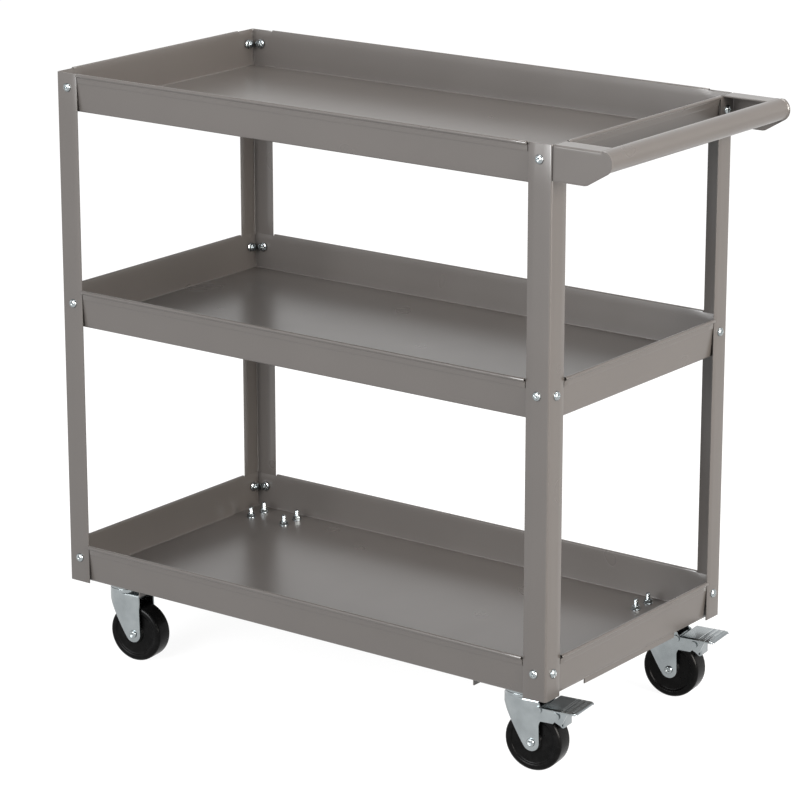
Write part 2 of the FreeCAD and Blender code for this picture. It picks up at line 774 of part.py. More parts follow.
# --- build and save -----------------------------------------------------------------------------
def main():
    os.makedirs("parts", exist_ok=True)
    print("overall length", handle_end + half_length + head_height, "height", top_rim)
    print("post bottom", post_bottom, "plate top", plate_top, "box centre x", box_centre_x)

    corner_post = front_left_post()
    for corner, (sign_x, sign_y) in CORNERS.items():
        save("post_" + corner, mirrored(corner_post, sign_x, sign_y))

    for name, rim in tray_rims.items():
        pan = tray(rim)
        if name == "bottom":
            floor = rim - tray_height
            above = floor + tray_sheet + cut_over
            pan = pan.cut(caster_screw_cuts(CORNERS, floor - cut_over, above))
        save("tray_" + name, pan)

    tray_screw = pan_screw(tray_screw_length)
    nut = flange_nut(screw_diameter)
    for tray_name, seats in screw_seats().items():
        screws = []
        nuts = []
        for sign_x, sign_y in CORNERS.values():
            for seat, outward in seats:
                along_x = abs(outward.x) > 0.5
                on_bracket = tray_name == "top" and sign_x > 0 and along_x
                lift = handle_sheet if on_bracket else 0
                screw = aimed(tray_screw, seat + outward * lift, outward)
                screws.append(mirrored(screw, sign_x, sign_y))
                rim = tray_rims[tray_name]
                low = seat.z - nut_flange_diameter / 2
                wall = wall_face(low, rim)[0 if along_x else 1] - tray_sheet - nut_gap
                half = half_length if along_x else half_width
                nut_seat = seat - outward * (half - wall)
                nuts.append(mirrored(aimed(nut, nut_seat, outward * -1), sign_x, sign_y))
        save("tray_screws_" + tray_name, group(screws))
        save("tray_nuts_" + tray_name, group(nuts))

    save("handle_tube", handle_tube())
    bracket = front_handle_bracket()
    save("handle_bracket_front", bracket)
    save("handle_bracket_rear", bracket.mirror(ORIGIN, Y_AXIS))

    channel = right_channel()
    save("caster_channel_right", channel)
    save("caster_channel_left", channel.mirror(ORIGIN, X_AXIS))

    caster_screw = pan_screw(caster_screw_length)
    caster_screws = []
    caster_nuts = []
    nut_floor = bottom_tray_floor + tray_sheet
    for corner in CORNERS:
        for place in caster_hole_places(corner):
            caster_screws.append(aimed(caster_screw, place + vec(0, 0, plate_bottom), -Z_AXIS))
            caster_nuts.append(aimed(nut, place + vec(0, 0, nut_floor), Z_AXIS))
    save("caster_screws", group(caster_screws))
    save("caster_nuts", group(caster_nuts))

    fixed_pieces = {
        "caster_plate_": caster_plate(),
        "kingpin_": kingpin(),
    }
    swivel_pieces = {
        "swivel_balls_": swivel_balls(),
        "axle_bolt_": axle_bolt(),
        "axle_nut_": axle_nut(),
        "wheel_bushing_": wheel_bushing(),
        "wheel_": wheel(),
    }
    brake_pieces = {
        "brake_pedal_": brake_pedal(),
        "brake_pivot_pin_": brake_pivot_pin(),
        "brake_stop_pin_": brake_stop_pin(),
    }
    forks = {
        False: fork(False),
        True: fork(True),
    }
    for corner in CORNERS:
        braked = corner in BRAKED
        for prefix, shape in fixed_pieces.items():
            save(prefix + corner, at_corner(shape, corner, False))
        for prefix, shape in swivel_pieces.items():
            save(prefix + corner, at_corner(shape, corner, True))
        save("fork_" + corner, at_corner(forks[braked], corner, True))
        if braked:
            for prefix, shape in brake_pieces.items():
                save(prefix + corner, at_corner(shape, corner, True))


main()
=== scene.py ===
# %% [markdown]
# # Tool cart
# A steel cart with three pan trays bolted inside four angle posts, a push handle at one end and four
# swivel casters, two of them with a foot brake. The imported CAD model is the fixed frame: every place
# and size below is read from its boxes, and each new piece rides on the body of the piece it replaces.

# %% Load the frame
import json
import math

import bmesh
import bpy
import numpy as np
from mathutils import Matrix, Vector


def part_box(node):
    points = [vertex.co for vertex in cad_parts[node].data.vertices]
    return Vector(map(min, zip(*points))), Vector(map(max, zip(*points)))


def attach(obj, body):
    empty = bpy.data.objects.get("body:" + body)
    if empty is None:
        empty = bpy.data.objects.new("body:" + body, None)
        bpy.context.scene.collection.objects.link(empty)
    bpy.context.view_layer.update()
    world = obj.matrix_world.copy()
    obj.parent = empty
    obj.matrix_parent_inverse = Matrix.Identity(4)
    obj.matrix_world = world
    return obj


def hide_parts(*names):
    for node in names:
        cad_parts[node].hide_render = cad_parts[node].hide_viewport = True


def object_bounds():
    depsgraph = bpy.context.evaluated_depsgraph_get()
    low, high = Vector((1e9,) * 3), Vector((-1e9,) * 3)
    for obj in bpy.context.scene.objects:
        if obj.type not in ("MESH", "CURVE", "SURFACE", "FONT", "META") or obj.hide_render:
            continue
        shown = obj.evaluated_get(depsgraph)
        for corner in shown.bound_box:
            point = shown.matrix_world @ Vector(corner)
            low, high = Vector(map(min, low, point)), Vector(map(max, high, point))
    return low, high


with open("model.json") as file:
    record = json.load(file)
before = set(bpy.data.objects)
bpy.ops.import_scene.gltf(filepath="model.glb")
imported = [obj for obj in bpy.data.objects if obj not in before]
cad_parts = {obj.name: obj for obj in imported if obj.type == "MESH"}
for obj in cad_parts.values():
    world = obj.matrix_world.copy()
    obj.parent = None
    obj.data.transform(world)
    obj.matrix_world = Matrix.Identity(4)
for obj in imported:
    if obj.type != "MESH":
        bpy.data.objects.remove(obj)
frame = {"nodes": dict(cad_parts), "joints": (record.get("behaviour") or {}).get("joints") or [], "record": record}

cad_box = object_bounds()
NODES = frame["nodes"]
MM = 0.001
print("nodes", len(NODES), "box", [round(v, 4) for v in cad_box[1] - cad_box[0]])

# %% [markdown]
# ## Finishes
# Three finishes show: a warm grey powder coat, bright zinc plate and gloss black plastic. Two plain
# steels cover the balls and the bushings. A node tree is better than an image here, because it stays sharp at any distance and
# follows the piece in Object coordinates, so nothing has to be unwrapped.

# %% Helpers that wire up a material
def new_material(name, color, roughness, metallic=0.0, specular=0.5):
    """Material with a Principled shader whose fixed values sit on the shader itself."""
    material = bpy.data.materials.new(name)
    material.use_nodes = True
    shader = material.node_tree.nodes["Principled BSDF"]
    shader.inputs["Base Color"].default_value = (*color, 1.0)
    shader.inputs["Roughness"].default_value = roughness
    shader.inputs["Metallic"].default_value = metallic
    shader.inputs["Specular IOR Level"].default_value = specular
    return material, material.node_tree, shader


def noise(tree, scale, detail=2.0, stretch=(1, 1, 1)):
    """Noise in Object coordinates, in features per metre, stretched along the axes."""
    place = tree.nodes.new("ShaderNodeTexCoord")
    mapping = tree.nodes.new("ShaderNodeMapping")
    mapping.inputs["Scale"].default_value = stretch
    texture = tree.nodes.new("ShaderNodeTexNoise")
    texture.inputs["Scale"].default_value = scale
    texture.inputs["Detail"].default_value = detail
    tree.links.new(place.outputs["Object"], mapping.inputs["Vector"])
    tree.links.new(mapping.outputs["Vector"], texture.inputs["Vector"])
    return texture.outputs["Fac"]


def spread(tree, value, low, high, start=0.3, end=0.7):
    """Map a noise value from start..end to low..high, held at the ends."""
    node = tree.nodes.new("ShaderNodeMapRange")
    node.inputs["From Min"].default_value = start
    node.inputs["From Max"].default_value = end
    node.inputs["To Min"].default_value = low
    node.inputs["To Max"].default_value = high
    tree.links.new(value, node.inputs["Value"])
    return node.outputs["Result"]


def tint(tree, value, dark, light):
    """Colour between dark and light, picked by a value from 0 to 1."""
    ramp = tree.nodes.new("ShaderNodeValToRGB")
    ramp.color_ramp.elements[0].color = (*dark, 1.0)
    ramp.color_ramp.elements[1].color = (*light, 1.0)
    tree.links.new(value, ramp.inputs["Fac"])
    return ramp.outputs["Color"]


def bump(tree, shader, height, distance, strength=1.0):
    """Raise the surface by height times distance, in metres."""
    node = tree.nodes.new("ShaderNodeBump")
    node.inputs["Distance"].default_value = distance
    node.inputs["Strength"].default_value = strength
    tree.links.new(height, node.inputs["Height"])
    tree.links.new(node.outputs["Normal"], shader.inputs["Normal"])


# %% [markdown]
# ### Powder coat
# Baked powder has a fine orange peel about a millimetre across, and its film is slightly thicker
# in some places than others, so the colour and the gloss both drift a little over a hand's width.

# %% Powder coat
def powder_coat():
    material, tree, shader = new_material("taupe_powder_coat", (0.044, 0.0395, 0.0365), 0.28)
    drift = spread(tree, noise(tree, 9.0, 3.0), 0.0, 1.0)
    color = tint(tree, drift, (0.0428, 0.0384, 0.0355), (0.0452, 0.0406, 0.0375))
    tree.links.new(color, shader.inputs["Base Color"])
    gloss = spread(tree, noise(tree, 14.0, 1.0), 0.27, 0.30, 0.2, 0.8)
    tree.links.new(gloss, shader.inputs["Roughness"])
    bump(tree, shader, noise(tree, 900.0, 2.0), 0.00002, 0.25)
    return material


# %% [markdown]
# ### Bright zinc plate
# Zinc plate is a bluish metal with soft cloudy patches and faint drawing lines from the press. The
# lines are noise stretched along one axis. The mirror part stays broad, because the plate is thin
# over rolled steel.

# %% Bright zinc
def bright_zinc(name="bright_zinc", rough=(0.20, 0.25), dark=(0.24, 0.262, 0.27),
                light=(0.30, 0.325, 0.333)):
    material, tree, shader = new_material(name, light, rough[0], 1.0)
    cloud = spread(tree, noise(tree, 45.0, 2.0), 0.0, 1.0)
    tree.links.new(tint(tree, cloud, dark, light), shader.inputs["Base Color"])
    tree.links.new(spread(tree, noise(tree, 160.0, 4.0), *rough), shader.inputs["Roughness"])
    lines = noise(tree, 500.0, 3.0, stretch=(1.0, 1.0, 0.08))
    bump(tree, shader, lines, 0.00002, 0.15)
    return material


# %% [markdown]
# ### Gloss black plastic
# The wheels are moulded in black polyolefin. They are nearly black, with a soft gloss that breaks up
# where the mould was blasted and where the tread has rolled.

# %% Black plastic
def black_plastic():
    material, tree, shader = new_material("gloss_black_plastic", (0.002, 0.002, 0.002), 0.22,
                                          specular=0.055)
    scuff = spread(tree, noise(tree, 120.0, 5.0), 0.0, 1.0, 0.45, 0.75)
    color = tint(tree, scuff, (0.0015, 0.0015, 0.0015), (0.003, 0.003, 0.003))
    tree.links.new(color, shader.inputs["Base Color"])
    tree.links.new(spread(tree, noise(tree, 55.0, 4.0), 0.18, 0.34), shader.inputs["Roughness"])
    bump(tree, shader, noise(tree, 700.0, 3.0), 0.00003, 0.4)
    return material


PAINT = powder_coat()
ZINC = bright_zinc()
STEEL = bright_zinc("polished_steel", (0.12, 0.2), (0.55, 0.56, 0.58), (0.72, 0.72, 0.74))
BUSHING = bright_zinc("plain_steel", (0.3, 0.45), (0.40, 0.40, 0.41), (0.55, 0.55, 0.56))
PLASTIC = black_plastic()
FINISH = {"taupe_paint": PAINT, "bright_zinc": ZINC, "ball_steel": STEEL,
          "bushing_steel": BUSHING, "black_plastic": PLASTIC}
SLOT_OF = {part["node"]: part["material_slot"] for part in frame["record"]["subparts"]}
for name, node in NODES.items():
    node.data.materials.clear()
    node.data.materials.append(FINISH[SLOT_OF[name]])
print("finishes", len(FINISH), "on", len(NODES), "CAD nodes")

# %% [markdown]
# ## From arrays to pieces
# Each new piece starts as a grid of points worked out at once with numpy. A grid can close on itself
# in one or both directions, and several grids join where their edges meet. Sheet metal is drawn as
# one surface and gets its real gauge from a Solidify modifier, then a fine Bevel on its cut edges.

# %% Grids and meshes
def grid_faces(rows, cols, wrap_rows=False, wrap_cols=False, keep=None):
    """Quads of a rows by cols grid; keep is a mask of the cells to use."""
    i, j = np.meshgrid(np.arange(rows if wrap_rows else rows - 1),
                       np.arange(cols if wrap_cols else cols - 1), indexing="ij")
    if keep is not None:
        i, j = i[keep], j[keep]
    next_i, next_j = (i + 1) % rows, (j + 1) % cols
    corners = (i * cols + j, i * cols + next_j, next_i * cols + next_j, next_i * cols + j)
    return np.stack([c.ravel() for c in corners], -1)


def surface(points, wrap_rows=False, wrap_cols=False, keep=None, flip=False):
    """A grid of points, rows by cols by 3, with its faces."""
    faces = grid_faces(*points.shape[:2], wrap_rows, wrap_cols, keep)
    return points.reshape(-1, 3), faces[:, ::-1] if flip else faces


def join(parts):
    """Several surfaces as one list of points and faces."""
    counts = np.cumsum([0] + [len(points) for points, _ in parts[:-1]])
    points = np.concatenate([points for points, _ in parts])
    return points, np.concatenate([faces + n for (_, faces), n in zip(parts, counts)])


def facing(points, direction, **options):
    """A surface turned over, if need be, so that most of its faces look along direction."""
    shape, faces = surface(points, **options)
    a, b, c = (shape[faces[:, i]] for i in range(3))
    looks = np.sum(np.cross(b - a, c - a) @ np.array(direction, float))
    return (shape, faces) if looks > 0 else (shape, faces[:, ::-1])


def mirror(part, signs):
    """Scale a surface by +1 or -1 on each axis and keep its faces pointing the same way out."""
    points, faces = part
    flipped = np.prod(signs) < 0
    return points * np.array(signs), faces[:, ::-1] if flipped else faces


def piece(name, part, material, nodes, body, smooth=38.0, closed=False):
    """Make a mesh object from a surface, merge its seams and fix it to its body."""
    points, faces = part
    mesh = bpy.data.meshes.new(name)
    mesh.from_pydata(points.tolist(), [], faces.tolist())
    work = bmesh.new()
    work.from_mesh(mesh)
    bmesh.ops.remove_doubles(work, verts=work.verts, dist=2e-6)
    bmesh.ops.dissolve_degenerate(work, edges=work.edges, dist=1e-7)
    if closed:
        bmesh.ops.recalc_face_normals(work, faces=work.faces)
    work.to_mesh(mesh)
    work.free()
    mesh.materials.append(material)
    mesh.polygons.foreach_set("use_smooth", [True] * len(mesh.polygons))
    mesh.set_sharp_from_angle(angle=math.radians(smooth))
    obj = bpy.data.objects.new(name, mesh)
    bpy.context.scene.collection.objects.link(obj)
    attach(obj, body)
    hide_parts(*nodes)
    print(name, len(mesh.polygons), "faces")
    return obj


def gauge(obj, thickness, offset=0.0, edge=0.0):
    """Give a sheet its thickness, and break its cut edges."""
    wall = obj.modifiers.new("gauge", "SOLIDIFY")
    wall.thickness = thickness
    wall.offset = offset
    if edge:
        bevel = obj.modifiers.new("edge", "BEVEL")
        bevel.width = edge
        bevel.segments = 2
        bevel.limit_method = "ANGLE"
        bevel.angle_limit = math.radians(50)
    return obj


# %% Profiles
def walk(start, heading, moves):
    """Line drawn by walking: each move is (length, turn in radians, steps), turning evenly."""
    lengths = np.concatenate([np.full(steps, length / steps) for length, _, steps in moves])
    turns = np.concatenate([np.full(steps, turn / steps) for _, turn, steps in moves])
    middle = heading + np.cumsum(turns) - turns / 2
    steps = np.stack([lengths * np.cos(middle), lengths * np.sin(middle)], -1)
    return np.concatenate([[start], np.array(start) + np.cumsum(steps, 0)])


def eased(profile, cut):
    """Round every corner of an open line: replace it by five points of a curve from cut before the
    corner to cut after it, P = (1-t)^2 A + 2t(1-t) B + t^2 C."""
    p = np.array(profile, float)
    before, corner, after = p[:-2], p[1:-1], p[2:]
    reach = np.broadcast_to(np.array(cut, float), len(corner))[:, None]
    back, ahead = before - corner, after - corner
    back_len = np.linalg.norm(back, axis=1, keepdims=True)
    ahead_len = np.linalg.norm(ahead, axis=1, keepdims=True)
    a = corner + back / back_len * np.minimum(reach, back_len * 0.45)
    c = corner + ahead / ahead_len * np.minimum(reach, ahead_len * 0.45)
    t = np.linspace(0, 1, 5)[None, :, None]
    curve = (1 - t) ** 2 * a[:, None] + 2 * t * (1 - t) * corner[:, None] + t ** 2 * c[:, None]
    return np.concatenate([p[:1], curve.reshape(-1, 2), p[-1:]])


def turned(profile, centre, axis, segments=64, around=None):
    """Turn a line of (radius, height) about an axis through centre. around is the direction of
    angle zero. P = centre + height * axis + radius * (cos t * u + sin t * v)."""
    w = np.array(axis, float)
    w = w / np.linalg.norm(w)
    u = np.array(around if around is not None else ((0, 0, 1) if abs(w[2]) < 0.9 else (1, 0, 0)), float)
    u = u - w * np.dot(u, w)
    u = u / np.linalg.norm(u)
    v = np.cross(w, u)
    t = np.linspace(0, 2 * np.pi, segments, endpoint=False)
    ring = np.cos(t)[:, None] * u + np.sin(t)[:, None] * v
    r, h = np.array(profile, float).T
    return np.array(centre, float) + h[:, None, None] * w + r[:, None, None] * ring[None]


# %% [markdown]
# ## Trays
# A tray is one sheet of 1 mm steel: the floor, four walls folded up along a small radius and leaning
# out by 5 mm, and a rim rolled outwards into a bead with its raw edge lying down the wall. It could
# be lofted from rings, but the real corners are open slots, so here the flat sheet is folded: a
# line walked from the floor's edge to the raw edge gives how far out and how far up each row lies.

# %% Tray sizes
SHEET = 1.0 * MM
DRAFT = 5.0 * MM
BEND = 2.0 * MM
BEAD = 2.0 * MM
HEM_DEPTH = 13.0 * MM
HEM_GAP = 1.5 * MM
BEAD_OUT = 2.6 * MM


def tray_line(height):
    """Middle line of a wall as (out, up) from the floor's edge, and the row where the roll starts.
    The roll turns on past straight down, and a small counter-turn lays the raw edge on the wall."""
    lean = math.atan(DRAFT / height)
    fold = math.pi / 2 - lean
    extra = math.radians(70)
    rise = height - SHEET - BEAD - BEND * (1 - math.cos(fold))
    moves = [(BEND * fold, fold, 6), (rise / math.cos(lean), 0.0, 5)]
    start_of_roll = 11
    moves += [(BEAD * (math.pi + extra), -(math.pi + extra), 16), (1.0 * MM, 0.0, 1),
              (1.0 * MM * extra, extra, 6)]
    so_far = walk((0.0, 0.0), 0.0, moves)
    down = so_far[-1, 1] - (height - SHEET / 2 - HEM_DEPTH)
    moves.append((down / math.cos(lean), 0.0, 3))
    return walk((0.0, 0.0), 0.0, moves), start_of_roll


def wall(line, roll, floor_along, floor_out, span):
    """One wall as a grid: columns keep their place inside the hem's span and spread to the mitred
    corner outside it; rows follow the walked line. Outer columns stop where the roll starts."""
    inner = np.linspace(-span, span, 29)
    outer = np.linspace(0, 1, 6)[1:]
    out, up = line[:, 0], line[:, 1]
    slot = np.clip(up / (3 * MM), 0, 1) * 0.57 * MM
    edge = floor_along + np.minimum(out, out[roll]) - slot
    right = span + outer[None, :] * (edge[:, None] - span)
    along = np.concatenate([-right[:, ::-1], np.broadcast_to(inner, (len(line), 29)), right], 1)
    points = np.stack([along, np.broadcast_to(floor_out + out[:, None], along.shape),
                       np.broadcast_to(up[:, None], along.shape)], -1)
    rows, cols = len(line) - 1, along.shape[1] - 1
    keep = np.ones((rows, cols), bool)
    keep[roll:, :5] = False
    keep[roll:, -5:] = False
    return points, keep, along[0]


def tray_surface(lo, hi, spans):
    """The whole pan: a floor grid on the walls' own lines, and four walls."""
    height = hi.z - lo.z
    line, roll = tray_line(height)
    centre = np.array([(lo.x + hi.x) / 2, (lo.y + hi.y) / 2, lo.z + SHEET / 2])
    reach = line[roll, 0] + BEAD_OUT - SHEET / 2
    fx = (hi.x - lo.x) / 2 - reach
    fy = (hi.y - lo.y) / 2 - reach
    front, keep_x, xs = wall(line, roll, fx, fy, spans[0])
    side, keep_y, ys = wall(line, roll, fy, fx, spans[1])
    floor = np.stack([*np.meshgrid(xs, ys, indexing="ij"), np.zeros((len(xs), len(ys)))], -1)
    parts = [surface(floor)]
    for sign in (-1, 1):
        swap = front * np.array([1, sign, 1])
        parts.append(surface(swap, keep=keep_x, flip=sign > 0))
        turn = side[..., [1, 0, 2]] * np.array([sign, 1, 1])
        parts.append(surface(turn, keep=keep_y, flip=sign < 0))
    points, faces = join(parts)
    return points + centre, faces


post_lo, post_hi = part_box("post_front_left")
for name in ("top", "middle", "bottom"):
    lo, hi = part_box("tray_" + name)
    half_x = (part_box("post_front_right")[1].x - post_lo.x) / 2
    half_y = (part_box("post_rear_left")[1].y - post_lo.y) / 2
    spans = (half_x - (post_hi.x - post_lo.x) - HEM_GAP, half_y - (post_hi.y - post_lo.y) - HEM_GAP)
    pan = piece("pan_" + name, tray_surface(lo, hi, spans), PAINT, ["tray_" + name], "frame", 40)
    gauge(pan, SHEET, 0.0, 0.12 * MM)

# %% [markdown]
# ## Posts
# Each post is an angle folded from 1.5 mm sheet. Its section is walked from one leg's edge round the
# bend to the other, and carried straight up. The sheet gets its gauge and its broken edges after.

# %% Angle posts
def angle_post(lo, hi, sign_x, sign_y):
    """Section of an angle, drawn from the corner at (0, 0), carried from the floor end to the top."""
    sheet, bend = 1.5 * MM, 2.25 * MM
    leg_x, leg_y = hi.x - lo.x, hi.y - lo.y
    flat_x, flat_y = leg_x - sheet / 2 - bend, leg_y - sheet / 2 - bend
    section = walk((leg_x, sheet / 2), math.pi, [(flat_x, 0, 3), (bend * math.pi / 2, -math.pi / 2, 8),
                                                 (flat_y, 0, 3)])
    levels = np.linspace(lo.z, hi.z, 13)
    points = np.concatenate([np.broadcast_to(section, (13, *section.shape)),
                             np.broadcast_to(levels[:, None, None], (13, len(section), 1))], -1)
    corner = np.array([lo.x if sign_x < 0 else hi.x, lo.y if sign_y < 0 else hi.y, 0])
    points, faces = mirror(surface(points, flip=True), (-sign_x, -sign_y, 1))
    return points + corner, faces


CORNERS = {"front_left": (-1, -1), "front_right": (1, -1), "rear_left": (-1, 1), "rear_right": (1, 1)}
for corner, (sign_x, sign_y) in CORNERS.items():
    node = "post_" + corner
    post = piece("angle_" + node, angle_post(*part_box(node), sign_x, sign_y), PAINT, [node], "frame", 40)
    gauge(post, 1.5 * MM, 0.0, 0.3 * MM)

# %% [markdown]
# ## Handle
# Two pressed brackets hold a tube. A bracket is a corner of sheet steel: a side plate with a round
# end about the tube, a flange on the post and a flange along the top. All three start as flat grids
# on a sharp box corner, and one function pulls every point near an edge onto a ball or a cylinder of
# the bend radius, so the bends meet as they do in the press.

# %% Bracket
BRACKET_BEND = 3.0 * MM
BRACKET_SHEET = 2.0 * MM
TOP_FLANGE = 27.0 * MM
BRACKET_FOOT = 49.0 * MM


def bend_corner(points, radius):
    """Round the box corner at (0, 0, 0): q = max(p, radius) on each axis, and the point moves to
    q + radius * (p - q) / |p - q|."""
    q = np.maximum(points, radius)
    gap = points - q
    size = np.linalg.norm(gap, axis=-1, keepdims=True)
    return q + radius * gap / np.where(size > 0, size, 1)


def bracket_surface(lo, hi, tube_x, tube_z, flange_y, flange_top):
    """Outer face of the bracket in its own corner frame: x from the post, y inwards, z down."""
    radius = hi.x - tube_x
    height = hi.z - lo.z
    reach = tube_x - lo.x
    drop = hi.z - tube_z
    fine = BRACKET_BEND * np.array([0, 0.12, 0.3, 0.55, 0.8, 1.0])
    top_angle = math.asin(drop / radius)
    foot = BRACKET_FOOT
    rise = height - drop
    tangent = math.atan2(rise, reach - foot) - math.asin(radius / math.hypot(reach - foot, rise))
    sweep = np.linspace(top_angle, 0, 14)
    arc_x = reach + radius * np.cos(sweep)
    flat_x = np.concatenate([fine, np.linspace(BRACKET_BEND, reach, 18)[1:]])
    xs = np.concatenate([flat_x, np.linspace(reach, arc_x[0], 5)[1:-1], arc_x])
    over = np.clip((xs - reach) / radius, -1, 1)
    round_end = radius * np.sqrt(1 - over ** 2)
    top = np.where(xs <= arc_x[0] + 1e-9, 0.0, drop - round_end)
    chin = height - (xs - foot) * math.tan(tangent)
    low_start = reach + radius * math.cos(tangent - math.pi / 2)
    low = np.where(xs < foot, height, np.where(xs < low_start, chin, drop + round_end))
    share = np.concatenate([fine / height, np.linspace(BRACKET_BEND / height, 1, 16)[1:]])
    depth = top[:, None] + share[None, :] * (low - top)[:, None]
    near = np.minimum(fine[None, :], depth[:, :6])
    depth[:len(flat_x), :6] = near[:len(flat_x)]
    plate = np.stack([np.broadcast_to(xs[:, None], depth.shape), np.zeros_like(depth), depth], -1)
    ys = np.concatenate([fine, np.linspace(BRACKET_BEND, flange_y, 10)[1:]])
    zs = depth[0]
    end = np.stack([np.zeros((len(ys), len(zs))), *np.meshgrid(ys, zs, indexing="ij")], -1)
    y_top = np.concatenate([fine, np.linspace(BRACKET_BEND, flange_top, 10)[1:]])
    lid = np.stack([*np.meshgrid(flat_x, y_top, indexing="ij"),
                    np.zeros((len(flat_x), len(y_top)))], -1)
    bent_plate = plate.copy()
    bent_plate[:len(flat_x)] = bend_corner(plate[:len(flat_x)], BRACKET_BEND)
    return join([facing(bent_plate, (0, -1, 0)), facing(bend_corner(end, BRACKET_BEND), (-1, 0, 0)),
                 facing(bend_corner(lid, BRACKET_BEND), (0, 0, -1))])


tube_lo, tube_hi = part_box("handle_tube")
tube_x, tube_z = (tube_lo.x + tube_hi.x) / 2, (tube_lo.z + tube_hi.z) / 2
tube_radius = (tube_hi.z - tube_lo.z) / 2
for side, sign in (("front", -1), ("rear", 1)):
    node = "handle_bracket_" + side
    lo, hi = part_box(node)
    shape = bracket_surface(lo, hi, tube_x, tube_z, hi.y - lo.y, TOP_FLANGE)
    points, faces = mirror(shape, (1, -sign, -1))
    corner = np.array([lo.x, lo.y if sign < 0 else hi.y, hi.z])
    bracket = piece("pressed_" + node, (points + corner, faces), PAINT, [node], "frame", 40)
    gauge(bracket, BRACKET_SHEET, -1.0, 0.25 * MM)


# %% [markdown]
# The tube is plain, welded inside the brackets, so its ends carry a small weld fillet under the
# paint. The fillet's radius wavers a little round the tube, as a hand-run weld does.

# %% Handle tube
def handle_tube():
    """Radius along the tube: tube_radius, plus a fillet that rises as (1 - d/w)^2 towards each end,
    its height varied by a sum of two sines round the tube."""
    half = (tube_hi.y - tube_lo.y) / 2
    width, rise = 2.6 * MM, 1.1 * MM
    near = np.linspace(0, width, 9)
    ys = np.concatenate([-half + near, np.linspace(-half + width, half - width, 12)[1:-1],
                         (half - near)[::-1]])
    t = np.linspace(0, 2 * np.pi, 72, endpoint=False)
    far = np.clip(1 - (half - np.abs(ys)) / width, 0, 1) ** 2
    waver = 1 + 0.22 * np.sin(9 * t) + 0.13 * np.sin(23 * t + 1)
    r = tube_radius + rise * far[:, None] * waver[None, :]
    x, z = tube_x + r * np.cos(t), tube_z + r * np.sin(t)
    z = np.minimum(z, tube_hi.z)
    outside = np.stack([x, np.broadcast_to(ys[:, None], x.shape), z], -1)
    inner = turned([(tube_radius - 1.5 * MM, half), (tube_radius - 1.5 * MM, -half)],
                   (tube_x, 0, tube_z), (0, 1, 0), 72, (1, 0, 0))
    inner = inner[:, (-np.arange(72)) % 72]
    return surface(np.concatenate([outside, inner]), wrap_rows=True, wrap_cols=True)


piece("push_tube", handle_tube(), PAINT, ["handle_tube"], "frame", 40, closed=True)


# %% [markdown]
# ## Screws and nuts
# The trays hang on pan-head screws with a cross recess. A head is a height field: a dome over the
# radius, minus a cross whose arms fade smoothly at their ends. The shank's end shows thread, drawn
# as rings, because a true helix would look the same at this size and cost far more faces.

# %% Pan-head screw
HEAD_RADIUS, HEAD_HEIGHT = 6.0 * MM, 3.6 * MM
THREAD_RADIUS, PITCH = 3.0 * MM, 1.0 * MM


def pan_head(radius, height, arm, slot, depth, rings=13, segments=40):
    """Height over the radius r and angle t: a superellipse dome h * (1 - (r/R)^3.2)^(1/2), less a
    cross of depth d where either arm covers the point, with soft walls."""
    r = radius * np.sin(np.linspace(0, np.pi / 2, rings))
    t = np.linspace(0, 2 * np.pi, segments, endpoint=False)
    x, y = r[:, None] * np.cos(t), r[:, None] * np.sin(t)
    dome = height * np.sqrt(np.clip(1 - (r / radius) ** 3.2, 0, 1))[:, None]
    soft = 0.35 * MM

    def arm_cover(a, b):
        across = np.clip((slot / 2 + soft / 2 - np.abs(b)) / soft, 0, 1)
        return across * np.clip((arm / 2 + soft / 2 - np.abs(a)) / soft, 0, 1)

    cross = np.maximum(arm_cover(x, y), arm_cover(y, x))
    taper = 1 - 0.55 * np.clip(np.hypot(x, y) / (arm / 2), 0, 1)
    z = dome - depth * cross * taper
    return np.stack([x, y, np.broadcast_to(z, x.shape)], -1)


def thread(radius, start, end, pitch):
    """Line of (radius, height) from start down to end with one shallow V for each turn."""
    count = max(2, int(abs(end - start) / pitch) * 2)
    h = np.linspace(start, end, count + 1)
    r = radius - np.where(np.arange(count + 1) % 2 == 1, 0.3 * pitch * 0.6, 0.0)
    line = np.stack([r, h], -1)
    tip = end - 0.5 * MM * np.sign(start - end)
    return np.concatenate([line, [(radius - 0.55 * MM, tip), (1e-9, tip)]])


def set_on(points, seat, outward, spin):
    """Place local points (z outwards) on a seat: P = seat + x u + y v + z w, turned by spin."""
    w = np.array(outward, float)
    u = np.array([0.0, 0.0, 1.0]) if abs(w[2]) < 0.5 else np.array([1.0, 0.0, 0.0])
    v = np.cross(w, u)
    c, s = math.cos(spin), math.sin(spin)
    x, y, z = points[..., 0:1], points[..., 1:2], points[..., 2:3]
    return np.array(seat) + (x * c - y * s) * u + (x * s + y * c) * v + z * w


def screw_surface(seat, outward, spin, length, bare):
    """Head on its seat and the shank behind it; bare is how much of the shank's end has thread."""
    head = pan_head(HEAD_RADIUS, HEAD_HEIGHT, arm=6.4 * MM, slot=1.3 * MM, depth=1.7 * MM)
    skirt = np.stack([head[-1] * [1, 1, 0], head[-1] * [0.5, 0.5, 0]])
    top = np.concatenate([head, skirt])
    shank = thread(THREAD_RADIUS, -(length - bare), -length + 0.5 * MM, PITCH)
    line = np.concatenate([[(THREAD_RADIUS, 0.0)], shank])
    ring = turned(line, (0, 0, 0), (0, 0, 1), 40, (1, 0, 0))
    shape = np.concatenate([top, ring])
    return surface(set_on(shape, seat, outward, spin), wrap_cols=True)


